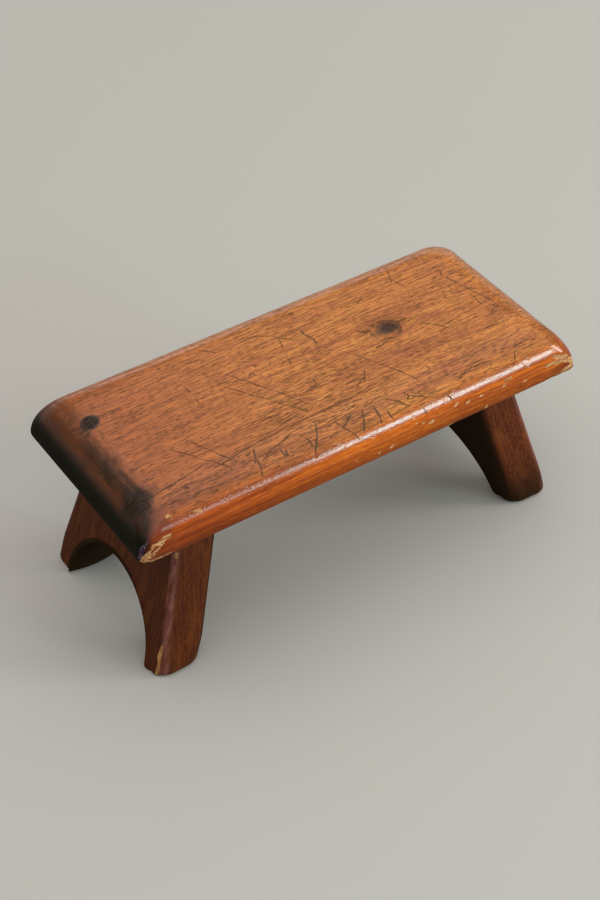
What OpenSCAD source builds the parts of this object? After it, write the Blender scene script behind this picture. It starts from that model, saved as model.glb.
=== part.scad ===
// Low wooden stool: one thick seat board with heavily rounded top edges, let down over two
// splayed end boards, each cut out below in a round arch that leaves two feet.
// Millimetres. +Z is up, +X runs along the seat, and the origin is on the floor under its middle.

/* [Seat board] */
// Length of the seat board, end to end
seat_length = 410; // [340:5:600]
// Width of the seat board, front to back
seat_width = 184; // [170:1:300]
// Thickness of the seat board
seat_thickness = 38; // [32:1:60]
// Height of the seat's top face above the floor
seat_height = 175.5; // [150:0.5:260]
// Radius of the rounding along the seat's top edges
seat_edge_radius = 35; // [6:1:40]
// Radius of the small rounding along the seat's bottom edges
seat_arris_radius = 3; // [1:0.5:6]
// Radius of the seat's two front corners at its widest, seen from above
seat_front_corner_radius = 8; // [2:1:30]
// Radius of the seat's two back corners at its widest, seen from above
seat_back_corner_radius = 12; // [2:1:30]
// How much rounder the corners get towards the top, as a share of the height gained
seat_corner_softening_share = 0.3; // [0:0.05:0.6]

/* [Leg boards] */
// Thickness of each leg board
leg_thickness = 40; // [30:1:50]
// How far a leg board's outer face stands in from the seat's end, at the floor
leg_inset = 8; // [0:1:40]
// Width of a leg board's outer face at the floor, front to back
leg_foot_width = 176; // [150:1:220]
// How far each leg board leans in from upright
leg_splay = 15.8; // [0:0.1:20]
// How far each side edge of a leg board leans in from upright
leg_flare = 9.5; // [0:0.1:12]
// Radius of the rounding along a leg board's long edges
leg_edge_radius = 10; // [2:0.5:14]

/* [Arch] */
// Radius of the arch cut out of each leg board
arch_radius = 60.5; // [30:0.5:64]
// Height of the arch's centre above the foot of the outer face, along the board
arch_rise = 0.5; // [0:0.5:15]
// Chamfer round the arch's rim on both faces
arch_rim_chamfer = 2; // [0.5:0.5:5]

/* [Joints] */
// Depth of the housing in the seat's underside that takes a leg board's top
housing_depth = 10; // [4:0.5:14]
// Gap between a leg board and each wall of its housing
housing_clearance = 0.2; // [0.1:0.1:1]
// Diameter of the dowels
dowel_diameter = 10; // [6:1:14]
// Length of each dowel inside its leg board
dowel_in_leg = 30; // [15:1:40]
// Wood left above each dowel hole in the seat
dowel_cover = 7; // [4:1:12]
// Distance from a leg board's side edge to the middle of its outer dowels, at its top
dowel_edge_distance = 20; // [14:1:30]
// Radial gap round a dowel in its hole
dowel_clearance = 0.1; // [0.05:0.05:0.3]
// Glue space left beyond each end of a dowel
dowel_end_gap = 0.8; // [0.2:0.1:0.9]
// Chamfer on each end of a dowel
dowel_chamfer = 1; // [0.5:0.5:2]

/* [Hidden] */
$fn = 64;

left = -1;
right = 1;
// How far a cut runs past the face that it opens
overrun = 5;
dowels_per_leg = 4;
// Facets along the seat's quarter-round edge, its small bottom rounding and each plan corner
edge_facets = 12;
arris_facets = 3;
corner_facets = 8;

seat_wood = [0.66, 0.36, 0.17];
leg_wood = [0.45, 0.22, 0.11];
dowel_wood = [0.80, 0.66, 0.45];

seat_underside = seat_height - seat_thickness;
// The rounding can't be taller than the board that carries it
seat_round = min(seat_edge_radius, seat_thickness - seat_arris_radius);
seat_widest_z = seat_height - seat_round;
housing_top = seat_underside + housing_depth;
leg_reach = seat_length / 2 - leg_inset;

// A leg board's own frame has X out through its outer face and Z up its slope. A point in the
// middle of the board's thickness is at the height of the housing's top at this Z.
leg_middle = -leg_thickness / 2;
leg_top_slope = (housing_top - leg_middle * sin(leg_splay)) / cos(leg_splay);
leg_top_half_width = leg_foot_width / 2 - leg_top_slope * tan(leg_flare);
leg_slope_length = (housing_top + leg_thickness) / cos(leg_splay) + overrun;

dowel_radius = dowel_diameter / 2;
dowel_in_seat = (seat_thickness - housing_depth - dowel_cover - dowel_radius * sin(leg_splay))
                / cos(leg_splay) - dowel_end_gap;
dowel_length = dowel_in_leg + dowel_in_seat;
dowel_reach = leg_top_half_width - dowel_edge_distance;
dowel_pitch = 2 * dowel_reach / (dowels_per_leg - 1);

// One level of the seat's outline: a rectangle drawn in by inset, with round corners, at a rise
// above the level where the seat is widest, or a drop below it
function seat_ring(inset, rise) = [
    for (corner = [[1, 1], [-1, 1], [-1, -1], [1, -1]])
        let (radius = (corner.y < 0 ? seat_front_corner_radius : seat_back_corner_radius)
                      + seat_corner_softening_share * max(rise, 0),
             cx = corner.x * (seat_length / 2 - inset - radius),
             cy = corner.y * (seat_width / 2 - inset - radius),
             first = corner.y > 0 ? (corner.x > 0 ? 0 : 90) : (corner.x < 0 ? 180 : 270))
            for (k = [0:corner_facets])
                let (a = first + 90 * k / corner_facets)
                    [cx + radius * cos(a), cy + radius * sin(a), seat_widest_z + rise]
];

// The levels from the underside up: the small bottom rounding, then the quarter-round to the top
function seat_levels() = concat(
    [for (k = [0:arris_facets])
        let (a = 90 * k / arris_facets)
            seat_ring(seat_arris_radius * (1 - sin(a)),
                      seat_underside + seat_arris_radius * (1 - cos(a)) - seat_widest_z)],
    [for (k = [(seat_thickness > seat_round + seat_arris_radius ? 0 : 1):edge_facets])
        let (a = 90 * k / edge_facets)
            seat_ring(seat_round * (1 - cos(a)), seat_round * sin(a))]
);

// A closed solid through a stack of rings, lowest first
module stacked_rings(rings) {
    n = len(rings[0]);
    last = len(rings) - 1;
    polyhedron(
        points = [for (ring = rings) each ring],
        faces = concat(
            [[for (k = [0:n - 1]) k]],
            [for (j = [0:last - 1], k = [0:n - 1])
                let (next = (k + 1) % n)
                    [j * n + k, (j + 1) * n + k, (j + 1) * n + next, j * n + next]],
            [[for (k = [n - 1:-1:0]) last * n + k]]
        )
    );
}

// Puts children, drawn in a leg board's own frame, where that leg board stands
module on_leg(side) {
    if (side == left) mirror([1, 0, 0]) on_leg(right) children();
    else translate([leg_reach, 0, 0]) rotate([0, -leg_splay, 0]) children();
}

// Section of one side of a leg board: full thickness, with both corners of its +Y edge rounded
module edge_section(thickness, width, radius) {
    translate([-thickness, -width]) square([thickness, width - radius]);
    translate([-thickness + radius, -width]) square([thickness - 2 * radius, width]);
    for (x = [radius - thickness, -radius]) translate([x, -radius]) circle(radius);
}

// A bar that runs up the +Y edge of a leg board and fills the board's whole width
module edge_bar(grow) {
    translate([grow, leg_foot_width / 2, 0]) rotate([leg_flare, 0, 0])
        translate([0, grow, -leg_thickness])
            linear_extrude(leg_slope_length + leg_thickness)
                edge_section(leg_thickness + 2 * grow, 2 * leg_foot_width, leg_edge_radius + grow);
}

// A leg board before its arch is cut, with every long face moved out by grow
module leg_blank(side, grow = 0) {
    intersection() {
        on_leg(side) intersection() {
            edge_bar(grow);
            mirror([0, 1, 0]) edge_bar(grow);
        }
        translate([-seat_length, -seat_width, 0])
            cube([2 * seat_length, 2 * seat_width, housing_top]);
    }
}

// What the saw takes out for the arch, in the leg board's own frame: a round hole square to the
// board, opened out at both faces by a small chamfer
module arch_cut() {
    translate([0, 0, arch_rise]) rotate([0, -90, 0]) {
        translate([0, 0, -overrun])
            cylinder(h = leg_thickness + 2 * overrun, r = arch_radius, $fn = 128);
        rim_cut();
        translate([0, 0, leg_thickness]) mirror([0, 0, 1]) rim_cut();
    }
}

// A cone that chamfers the edge where the arch meets Z = 0
module rim_cut() {
    translate([0, 0, -overrun])
        cylinder(h = overrun + arch_rim_chamfer, r1 = arch_radius + arch_rim_chamfer + overrun,
                 r2 = arch_radius, $fn = 128);
}

// Puts children at the lower end of one dowel, with Z along it
module on_dowel(side, number) {
    on_leg(side) translate([leg_middle, (number - 1) * dowel_pitch - dowel_reach,
                            leg_top_slope - dowel_in_leg]) children();
}

module dowel_holes(side) {
    for (number = [1:dowels_per_leg]) on_dowel(side, number) translate([0, 0, -dowel_end_gap])
        cylinder(h = dowel_length + 2 * dowel_end_gap, r = dowel_radius + dowel_clearance);
}

module seat_board() {
    color(seat_wood) difference() {
        stacked_rings(seat_levels());
        for (side = [left, right]) {
            leg_blank(side, housing_clearance);
            dowel_holes(side);
        }
    }
}

module leg_board(side) {
    color(leg_wood) difference() {
        leg_blank(side);
        on_leg(side) arch_cut();
        dowel_holes(side);
    }
}

module dowel(side, number) {
    color(dowel_wood) on_dowel(side, number) {
        cylinder(h = dowel_chamfer, r1 = dowel_radius - dowel_chamfer, r2 = dowel_radius);
        translate([0, 0, dowel_chamfer])
            cylinder(h = dowel_length - 2 * dowel_chamfer, r = dowel_radius);
        translate([0, 0, dowel_length - dowel_chamfer])
            cylinder(h = dowel_chamfer, r1 = dowel_radius, r2 = dowel_radius - dowel_chamfer);
    }
}

seat_board();
leg_board(left);  // leg_board_left
leg_board(right);  // leg_board_right
dowel(left, 1);  // dowel_left_1
dowel(left, 2);  // dowel_left_2
dowel(left, 3);  // dowel_left_3
dowel(left, 4);  // dowel_left_4
dowel(right, 1);  // dowel_right_1
dowel(right, 2);  // dowel_right_2
dowel(right, 3);  // dowel_right_3
dowel(right, 4);  // dowel_right_4
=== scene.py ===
import itertools
import math

import bpy
import numpy as np
from mathutils import Matrix, Vector


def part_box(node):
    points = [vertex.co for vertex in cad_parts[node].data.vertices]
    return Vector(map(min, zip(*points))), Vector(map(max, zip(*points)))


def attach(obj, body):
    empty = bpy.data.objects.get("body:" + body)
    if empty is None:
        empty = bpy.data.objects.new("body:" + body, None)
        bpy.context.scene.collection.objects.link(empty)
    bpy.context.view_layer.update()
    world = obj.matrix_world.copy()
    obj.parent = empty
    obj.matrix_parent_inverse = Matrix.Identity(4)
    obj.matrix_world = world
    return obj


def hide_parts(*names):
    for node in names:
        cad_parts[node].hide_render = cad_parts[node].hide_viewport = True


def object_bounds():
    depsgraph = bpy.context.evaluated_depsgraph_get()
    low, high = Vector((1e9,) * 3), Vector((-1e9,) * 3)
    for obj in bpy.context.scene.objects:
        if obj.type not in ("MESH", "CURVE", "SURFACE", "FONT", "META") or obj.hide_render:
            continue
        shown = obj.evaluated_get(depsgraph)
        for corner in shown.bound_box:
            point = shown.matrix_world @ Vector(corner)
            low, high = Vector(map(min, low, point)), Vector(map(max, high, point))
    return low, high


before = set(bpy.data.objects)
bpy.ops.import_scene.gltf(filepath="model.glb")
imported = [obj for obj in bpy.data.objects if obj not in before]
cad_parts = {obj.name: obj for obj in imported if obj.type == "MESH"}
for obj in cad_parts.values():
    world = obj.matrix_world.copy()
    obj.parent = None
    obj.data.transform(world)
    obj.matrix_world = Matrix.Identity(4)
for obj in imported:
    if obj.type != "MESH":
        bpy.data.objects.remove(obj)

cadLow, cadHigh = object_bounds()
scene = bpy.context.scene
scene.view_settings.view_transform = "Standard"
mm = 0.001
print("frame loaded:", len(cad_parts), "nodes")


# Camera at the photograph's angle: a long lens looking down on the near left corner

camera = {
    "place": (-0.6292, -0.9376, 1.0991), "looksAlong": (0.4111, 0.6188, -0.6694),
    "up": (0.3743, 0.5550, 0.7429), "lens": 73.81, "sensor": 36, "clipEnd": 200,
}


def addCamera(view):
    data = bpy.data.cameras.new("camera")
    data.lens = view["lens"]
    data.sensor_width = view["sensor"]
    data.clip_end = view["clipEnd"]
    cam = bpy.data.objects.new("camera", data)
    scene.collection.objects.link(cam)
    back = -Vector(view["looksAlong"]).normalized()
    right = Vector(view["up"]).cross(back).normalized()
    up = back.cross(right)
    turn = Matrix((right, up, back)).transposed().to_4x4()
    cam.matrix_world = Matrix.Translation(view["place"]) @ turn
    scene.camera = cam


addCamera(camera)
print("camera placed")


# Helpers for surfaces worked out with numpy

# The least length that is divided by
tiny = 1e-9


def makePiece(name, verts, faces, material, marks=None):
    # A mesh object from vertex rows and face index lists; marks are one value per vertex
    mesh = bpy.data.meshes.new(name)
    mesh.from_pydata(verts.tolist(), [], faces)
    for markName, values in (marks or {}).items():
        layer = mesh.attributes.new(markName, "FLOAT", "POINT")
        layer.data.foreach_set("value", values.astype(np.float32))
    mesh.polygons.foreach_set("use_smooth", [True] * len(mesh.polygons))
    mesh.materials.append(material)
    mesh.update()
    piece = bpy.data.objects.new(name, mesh)
    scene.collection.objects.link(piece)
    return piece


def easeStep(values, low, high):
    # 0 below low, 1 above high, and the curve 3t^2 - 2t^3 between them
    t = np.clip((values - low) / (high - low), 0, 1)
    return t * t * (3 - 2 * t)


def latticeNoise(points, cell, seed, shift=0):
    # From -1 to 1: random values on a lattice of cells, blended along each axis by easeStep; shift is
    # added to the seed
    q = points / np.asarray(cell)
    low = np.floor(q).astype(int)
    share = easeStep(q - low, 0, 1)
    low -= low.min(axis=0)
    rng = np.random.default_rng(seed + shift)
    table = rng.uniform(-1, 1, tuple(low.max(axis=0) + 2))
    total = np.zeros(len(points))
    for corner in itertools.product((0, 1), repeat=3):
        weight = np.prod(np.where(corner, share, 1 - share), axis=1)
        at = low + corner
        total += weight * table[at[:, 0], at[:, 1], at[:, 2]]
    return total


def segmentDistance(points, start, end):
    # Distance from each point to the straight line between start and end
    start, end = np.asarray(start, float), np.asarray(end, float)
    way = end - start
    along = np.clip((points - start) @ way / max(way @ way, tiny), 0, 1)
    return np.linalg.norm(points - start - along[:, None] * way, axis=1)


def nearLine(points, start, end, reach, fall):
    # 1 on the line from start to end, easing to 0 over the last share of reach, fall
    return easeStep(1 - segmentDistance(points, start, end) / reach, 0, fall)


def handWear(points, wear, shift=0):
    # Wide waves mixed with a share of narrow ones, from 0 to the wear's depth, easing out over each pair
    # of heights; shift is added to every seed
    wide, narrow = (latticeNoise(points, *wave, shift) for wave in wear["waves"])
    mixed = (1 - wear["narrowShare"]) * wide + wear["narrowShare"] * narrow
    depth = wear["deepest"] * (0.5 + 0.5 * mixed)
    for heights in wear["heights"]:
        depth = depth * easeStep(points[:, 2], *heights)
    return depth


def chipWood(points, depth, splinters, wear, shift=0):
    # The deepest cut at each vertex counts. Chips are ragged, and thin out away from their start.
    fibre = latticeNoise(points, *wear["fibre"], shift)
    rough = latticeNoise(points, *wear["rough"], shift)
    bare = np.zeros(len(points))
    for start, end, radius, cut in splinters:
        away = np.linalg.norm(points - start, axis=1) / wear["taper"]
        reach = radius * (1 + wear["ragged"] * rough) * (1 - np.minimum(away, wear["taperMost"]))
        near = nearLine(points, start, end, reach, wear["fall"])
        depth = np.maximum(depth, near * cut * (wear["chipLeast"] + wear["chipFibres"] * fibre))
        bare = np.maximum(bare, near)
    return depth, bare, rough


def gridFaces(index):
    # One quad for each cell of a grid of vertex numbers
    corners = [index[:-1, :-1], index[1:, :-1], index[1:, 1:], index[:-1, 1:]]
    return np.stack(corners, axis=-1).reshape(-1, 4)


# Shader helpers

class NodeGraph:
    # Adds nodes to one tree; a value is plain or another node's output, and fades are steps by name

    def __init__(self, tree, fades=None):
        self.tree = tree
        self.tree.nodes.clear()
        self.fades = fades

    def add(self, kind, inputs=None, **settings):
        node = self.tree.nodes.new("ShaderNode" + kind)
        for key, value in settings.items():
            setattr(node, key, value)
        for key, value in (inputs or {}).items():
            self.put(node.inputs[key], value)
        return node

    def put(self, socket, value):
        if isinstance(value, bpy.types.NodeSocket):
            self.tree.links.new(value, socket)
        else:
            socket.default_value = value

    def calc(self, operation, *values):
        return self.add("Math", dict(enumerate(values)), operation=operation).outputs[0]

    def times(self, first, second):
        return self.calc("MULTIPLY", first, second)

    def plus(self, first, second):
        return self.calc("ADD", first, second)

    def minus(self, first, second):
        return self.calc("SUBTRACT", first, second)

    def timesPlus(self, value, factor, extra):
        return self.calc("MULTIPLY_ADD", value, factor, extra)

    def most(self, *values):
        total = values[0]
        for value in values[1:]:
            total = self.calc("MAXIMUM", total, value)
        return total

    def within(self, value):
        # From 0 to 1. A node's own clamp is a hidden node put in last, and keeps many values waiting.
        return self.calc("MINIMUM", self.calc("MAXIMUM", value, 0), 1)

    def squares(self, first, second):
        return self.timesPlus(first, first, self.times(second, second))

    def hypot(self, first, second):
        return self.calc("SQRT", self.squares(first, second))

    def vector(self, operation, *values, scale=None):
        node = self.add("VectorMath", dict(enumerate(values)), operation=operation)
        if scale is not None:
            self.put(node.inputs["Scale"], scale)
        isNumber = operation in ("LENGTH", "DOT_PRODUCT")
        return node.outputs["Value" if isNumber else "Vector"]

    def apart(self, first, second):
        # Distance between two points
        return self.vector("LENGTH", self.vector("SUBTRACT", first, second))

    def turned(self, point, degrees=(0, 0, 0), scale=(1, 1, 1), shift=(0, 0, 0)):
        angles = tuple(math.radians(a) for a in degrees)
        inputs = {"Vector": point, "Rotation": angles, "Scale": scale, "Location": shift}
        return self.add("Mapping", inputs).outputs[0]

    def noise(self, point, scale=1, detail=2, roughness=0.5, output="Fac"):
        inputs = {"Vector": point, "Scale": scale, "Detail": detail, "Roughness": roughness}
        return self.add("TexNoise", inputs).outputs[output]

    def even(self, point, scale, detail=2, roughness=0.5, usual=(0.2, 0.8)):
        # Noise in stretched coordinates, its usual values spread from 0 to 1
        field = self.noise(self.turned(point, scale=scale), 1, detail, roughness)
        return self.step(field, *usual)

    def shake(self, point, reach, scale=1):
        # A random step of up to half of reach along each axis
        wander = self.noise(point, scale, output="Color")
        return self.vector("SCALE", self.vector("SUBTRACT", wander, (0.5, 0.5, 0.5)), scale=reach)

    def step(self, value, low, high, toLow=0, toHigh=1):
        inputs = {"Value": value, "From Min": low, "From Max": high, "To Min": toLow, "To Max": toHigh}
        return self.add("MapRange", inputs, interpolation_type="SMOOTHSTEP", clamp=False).outputs[0]

    def fade(self, value, name):
        return self.step(value, *self.fades[name])

    def ramp(self, value, stops):
        node = self.add("ValToRGB", {"Fac": value})
        bar = node.color_ramp
        while len(bar.elements) < len(stops):
            bar.elements.new(0.5)
        for element, (place, colour) in zip(bar.elements, stops):
            element.position = place
            element.color = (*colour, 1)
        return node.outputs["Color"]

    def mix(self, share, first, second, mode="MIX"):
        node = self.add("Mix", data_type="RGBA", blend_type=mode)
        self.put(node.inputs["Factor"], share)
        for socket, colour in ((node.inputs[6], first), (node.inputs[7], second)):
            self.put(socket, colour if isinstance(colour, bpy.types.NodeSocket) else (*colour, 1))
        return node.outputs[2]

    def mark(self, name):
        return self.add("Attribute", attribute_name=name).outputs["Fac"]

    def split(self, point):
        return self.add("SeparateXYZ", {0: point}).outputs

    def join(self, x, y, z):
        return self.add("CombineXYZ", {0: x, 1: y, 2: z}).outputs[0]


class FinishGraph(NodeGraph):
    # The nodes of a new material, with the point in millimetres

    def __init__(self, name, fades=None):
        self.material = bpy.data.materials.new(name)
        self.material.use_nodes = True
        super().__init__(self.material.node_tree, fades)
        place = self.add("TexCoord").outputs["Object"]
        self.point = self.vector("SCALE", place, scale=1 / mm)

    def bump(self, height, strength, distance, **inputs):
        # distance is in millimetres
        inputs = {"Height": height, "Strength": strength, "Distance": distance * mm, **inputs}
        return self.add("Bump", inputs).outputs[0]

    def finish(self, inputs):
        # The shader with these inputs, wired to the material's output
        shader = self.add("BsdfPrincipled", inputs)
        self.add("OutputMaterial", {"Surface": shader.outputs[0]})
        return self.material


# Parts of a wood finish

# Where a year ring darkens and where it ends, as shares of the ring
ringDarkens = (0.25, 0.92)
ringEnds = (0.92, 1, 1, 0)


def growthRings(g, point, look):
    # Distance from the tree's heart, along X, cut into rings that darken slowly and end sharply
    wander = g.shake(g.turned(point, scale=look["wanderScale"]), look["wander"])
    y, z = g.split(g.vector("ADD", point, wander))[1:]
    reach = g.hypot(g.minus(y, look["heart"][0]), g.minus(z, look["heart"][1]))
    ring = g.calc("FRACT", g.calc("DIVIDE", reach, look["ringPitch"]))
    return g.times(g.step(ring, *ringDarkens), g.step(ring, *ringEnds))


# How gently a knot's pull grows towards its middle, and the most that y is drawn in
knotPull = {"softening": 0.4, "limit": 0.95}


def aroundKnots(g, point, knots):
    # Grain flows round a knot: near it, y is drawn to the knot's own y
    for knot in knots:
        x, y, z = g.split(point)
        size = knot["radius"] ** 2
        dx = g.times(g.minus(x, knot["at"][0]), knot["flow"])
        dy = g.minus(y, knot["at"][1])
        pull = g.calc("DIVIDE", size, g.plus(g.squares(dx, dy), size * knotPull["softening"]))
        y = g.minus(y, g.times(dy, g.calc("MINIMUM", pull, knotPull["limit"])))
        point = g.join(x, y, z)
    return point


# A short mark is full up to the first distance from its middle and gone at the second, in cells
dashFade = (0.2, 0.45, 1, 0)
# A seed moves the marks along by as many cells, and across by this many times as many
dashDrift = 1.7


def dashes(g, point, degrees, length, width, kept, seed, space="2D"):
    # Each cell of a stretched Voronoi pattern holds one spot, and only some keep theirs
    cells = (1 / length, 1 / width, 1 / width)
    grid = g.turned(point, (0, 0, degrees), cells, (seed, seed * dashDrift, 0))
    inputs = {"Vector": grid, "Scale": 1}
    cell = g.add("TexVoronoi", inputs, feature="F1", voronoi_dimensions=space)
    chance = g.split(cell.outputs["Color"])[0]
    spot = g.step(cell.outputs["Distance"], *dashFade)
    return g.times(spot, g.calc("LESS_THAN", chance, kept))


# A scratch's half width at its tips, as a share of the middle's, and how suddenly it thins out there
strokeTaper = {"tips": 0.3, "power": 3}


def strokeGroup():
    # How near a point is to the line A to B, which thins out to both ends
    tree = bpy.data.node_groups.new("scratchStroke", "ShaderNodeTree")
    for kind, names in (("Vector", ("Point", "A", "B")), ("Float", ("Width", "Sharp", "Before"))):
        for name in names:
            tree.interface.new_socket(name=name, in_out="INPUT", socket_type="NodeSocket" + kind)
    tree.interface.new_socket(name="Mark", in_out="OUTPUT", socket_type="NodeSocketFloat")
    g = NodeGraph(tree)
    given = tree.nodes.new("NodeGroupInput").outputs
    away = g.vector("SUBTRACT", given["Point"], given["A"])
    way = g.vector("SUBTRACT", given["B"], given["A"])
    along = g.calc("DIVIDE", g.vector("DOT_PRODUCT", away, way), g.vector("DOT_PRODUCT", way, way))
    along = g.within(along)
    aside = g.apart(away, g.vector("SCALE", way, scale=along))
    toTip = g.calc("ABSOLUTE", g.timesPlus(along, 2, -1))
    taper = g.minus(1, g.calc("POWER", toTip, strokeTaper["power"]))
    reach = g.timesPlus(taper, 1 - strokeTaper["tips"], strokeTaper["tips"])
    reach = g.times(given["Width"], reach)
    mark = g.within(g.times(g.minus(1, g.calc("DIVIDE", aside, reach)), given["Sharp"]))
    out = tree.nodes.new("NodeGroupOutput")
    g.put(out.inputs["Mark"], g.calc("MAXIMUM", given["Before"], mark))
    return tree


def strokes(g, flat, marks, kind, group, found=0):
    # The strongest of many straight scratches; each mark is a chain of points
    width, sharp = markKinds[kind]
    for chain in marks:
        for start, end in zip(chain[:-1], chain[1:]):
            line = {"Point": flat, "A": (*start, 0), "B": (*end, 0)}
            inputs = {**line, "Width": width, "Sharp": sharp, "Before": found}
            found = g.add("Group", inputs, node_tree=group).outputs["Mark"]
    return found


# Layers of grain: cells per millimetre along X, Y and Z, then the noise's detail and roughness
grainLayers = {
    "flecks": ((0.16, 1.5, 1.5), 2),
    "fibres": ((0.045, 1.05, 1.05), 3, 0.6),
    "streaks": ((0.006, 0.16, 0.16), 4, 0.6),
}
# How much each layer darkens the wood
grainWeights = {"flecks": 0.30, "rings": 0.11, "fibres": 0.32, "streaks": 0.19}


def woodDepth(g, point, look):
    # How dark the wood is, from 0 to 1: flecks, fibres, wide streaks and the year rings
    layers = {name: g.even(point, *layer) for name, layer in grainLayers.items()}
    layers["rings"] = growthRings(g, point, look)
    depth = g.times(layers["flecks"], grainWeights["flecks"])
    for name in ("rings", "fibres", "streaks"):
        depth = g.timesPlus(layers[name], grainWeights[name], depth)
    return depth, layers["fibres"], layers["rings"]


# Bare wood: the noises that tear its edge and draw its strands, and where its edge starts and ends
bareGrain = {
    "splinters": ((0.05, 1.1, 1.1), 3, 0.6),
    "strands": ((0.04, 1.4, 1.4), 2, 0.6),
    "torn": 0.8,
    "edge": (0.38, 0.52),
}


def bareStrands(g, wood, look, point):
    # Where the finish is knocked off: pale strands along the grain, with darker gaps between them
    splinter = g.even(point, *bareGrain["splinters"])
    strand = g.even(point, *bareGrain["strands"])
    torn = g.timesPlus(g.minus(splinter, 0.5), bareGrain["torn"], g.mark("bareWood"))
    bare = g.step(torn, *bareGrain["edge"])
    return g.mix(bare, wood, g.ramp(strand, look["bareWood"])), bare, strand


def varnished(g, wood, bare, bump, weight, skin, gloss):
    # Wood under a clear coat with its own bumps; bare wood is rougher
    return g.finish({
        "Base Color": wood,
        "Roughness": g.timesPlus(bare, gloss["bareAdds"], gloss["rough"]),
        "Specular IOR Level": 0,
        "Normal": bump,
        "Coat Weight": weight,
        "Coat Roughness": gloss["coatRough"],
        "Coat IOR": gloss["coatIndex"],
        "Coat Normal": skin,
    })


# A knot's rim and core: where each starts and ends, in radii, and the noise that makes them ragged
knotEdges = {"rimStarts": (0.5, 0.95), "rimEnds": (1, 1.3), "coreEnds": 1.1, "tails": 0.62}
knotNoise = {"scale": 0.35, "detail": 3}


def withKnots(g, wood, look, knots, tails):
    # Each knot is a round core in a ragged dark rim; the tails lie along the grain
    x, y = g.split(g.point)[:2]
    ragged = g.minus(g.noise(g.point, **knotNoise), 0.5)
    dull = tails
    for knot in knots:
        dx = g.times(g.minus(x, knot["at"][0]), knot["stretch"])
        dy = g.minus(y, knot["at"][1])
        apart = g.timesPlus(ragged, knot["ragged"], g.hypot(dx, dy))
        apart = g.calc("DIVIDE", apart, knot["radius"])
        fade = g.step(apart, *knotEdges["rimEnds"], knot["rim"], 0)
        rim = g.times(g.step(apart, *knotEdges["rimStarts"]), fade)
        core = g.step(apart, knot["solid"], knotEdges["coreEnds"], knot["share"], 0)
        wood = g.mix(core, wood, knot["core"])
        wood = g.mix(rim, wood, look["knotRim"])
        dull = g.most(dull, core)
    return g.mix(g.times(tails, knotEdges["tails"]), wood, look["knotRim"]), dull


# Seat board finish

seatLook = {
    "heart": (-25, 60),
    "ringPitch": 2.2,
    "wanderScale": (0.006, 0.03, 0.03),
    "wander": 8,
    "wood": [
        (0.26, (0.70, 0.252, 0.043)),
        (0.46, (0.495, 0.147, 0.018)),
        (0.64, (0.36, 0.087, 0.0135)),
        (0.86, (0.16, 0.040, 0.010)),
    ],
    "redWood": [
        (0.30, (0.45, 0.108, 0.016)),
        (0.75, (0.18, 0.040, 0.008)),
    ],
    "bareWood": [
        (0.22, (0.10, 0.030, 0.012)),
        (0.38, (0.44, 0.18, 0.065)),
        (0.60, (0.72, 0.40, 0.18)),
    ],
    "streak": (0.17, 0.028, 0.007),
    "brown": (0.075, 0.024, 0.010),
    "patch": (0.022, 0.010, 0.006),
    "blackDirtAndShade": (0.010, 0.009, 0.005),
    "edgeTintAndPaintedLight": (1.19, 0.85, 0.44),
    "lowPaintedShade": (0.44, 0.41, 0.58),
    "crushedSheen": (0.050, 0.026, 0.042),
    "crushedGlint": (0.27, 0.24, 0.33),
    "knotRim": (0.024, 0.012, 0.008),
    "scratch": (0.060, 0.041, 0.026),
    "gouge": (0.088, 0.060, 0.040),
}
seatKnots = [
    {"at": (-177, 32.5), "radius": 6.9, "stretch": 1, "ragged": 1.5, "flow": 0.55,
     "solid": 0.85, "rim": 0.9, "share": 0.97, "core": (0.009, 0.007, 0.006)},
    {"at": (79, -0.5), "radius": 10.5, "stretch": 0.8, "ragged": 6, "flow": 0.5,
     "solid": 0.3, "rim": 0, "share": 0.93, "core": (0.045, 0.016, 0.010)},
]
# Darker wood round a knot, where the grain isn't bent further
seatHalos = [
    {"at": (75, 1), "radius": 19, "stretch": 0.6, "ragged": 14,
     "solid": 0.1, "rim": 0, "share": 0.55, "core": (0.13, 0.034, 0.010)},
]

# Noises that break up the seat's finish: cells per millimetre, then detail and roughness
seatNoises = {
    "cloud": ((0.03, 0.05, 0.05), 4, 0.6),
    "across": ((0.16, 0.025, 0.05), 3, 0.6),
    "frontStreaks": ((0.008, 0.24, 0.24), 3),
    "lines": ((0.06, 1.9, 1.9), 2),
}
# Changes across the seat: where each starts and ends, then its strength before and after. Places are
# millimetres along X, Y or Z, or the values of a noise.
seatFades = {
    "upper": (158, 168, 0, 1), "low": (136, 158, 1, 0), "gloss": (148, 160, 0.35, 1),
    "redLeft": (-190, 20, 0.95, 0), "redClouds": (0.4, 0.9, 0, 0.35), "front": (-70, -58, 1, 0),
    "frontLeft": (-110, -20, 0.62, 0.35), "frontStreaks": (0.42, 0.70, 0, 0.85),
    "cornerSide": (-7, 8, 0, 1), "leftEnd": (-184, -160, 1, 0), "rightEndReflection": (172, 194, 0, 0.8),
    "blackDirtAndShade": (154, 171, 1, 0), "smearWidth": (2, 10, 0.85, 0), "smearFront": (8, 30, 1, 0),
    "smearClouds": (0.25, 0.6, 0.75, 1), "fineMarks": (0.32, 0.52, 0.55, 1),
    "lines": (0.60, 0.80, 0, 0.8), "poreClouds": (0.1, 0.9, 0.4, 0.85), "specks": (0.56, 0.70, 0, 1),
    "dents": (0.56, 0.70, 0, -1),
}
# Dirty spots by the left corner: middle, fade with distance, and how ragged their edge is
seatSpots = {
    "corner": {"at": (-189, -61, 168), "fade": (16, 25, 0.95, 0), "ragged": 7},
    "tip": {"at": (-198, -78, 158), "fade": (14, 26, 0.8, 0), "ragged": 8},
    "reddened": {"at": (-193, -84, 162), "fade": (14, 34, 0.72, 0), "ragged": 10},
}
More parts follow.
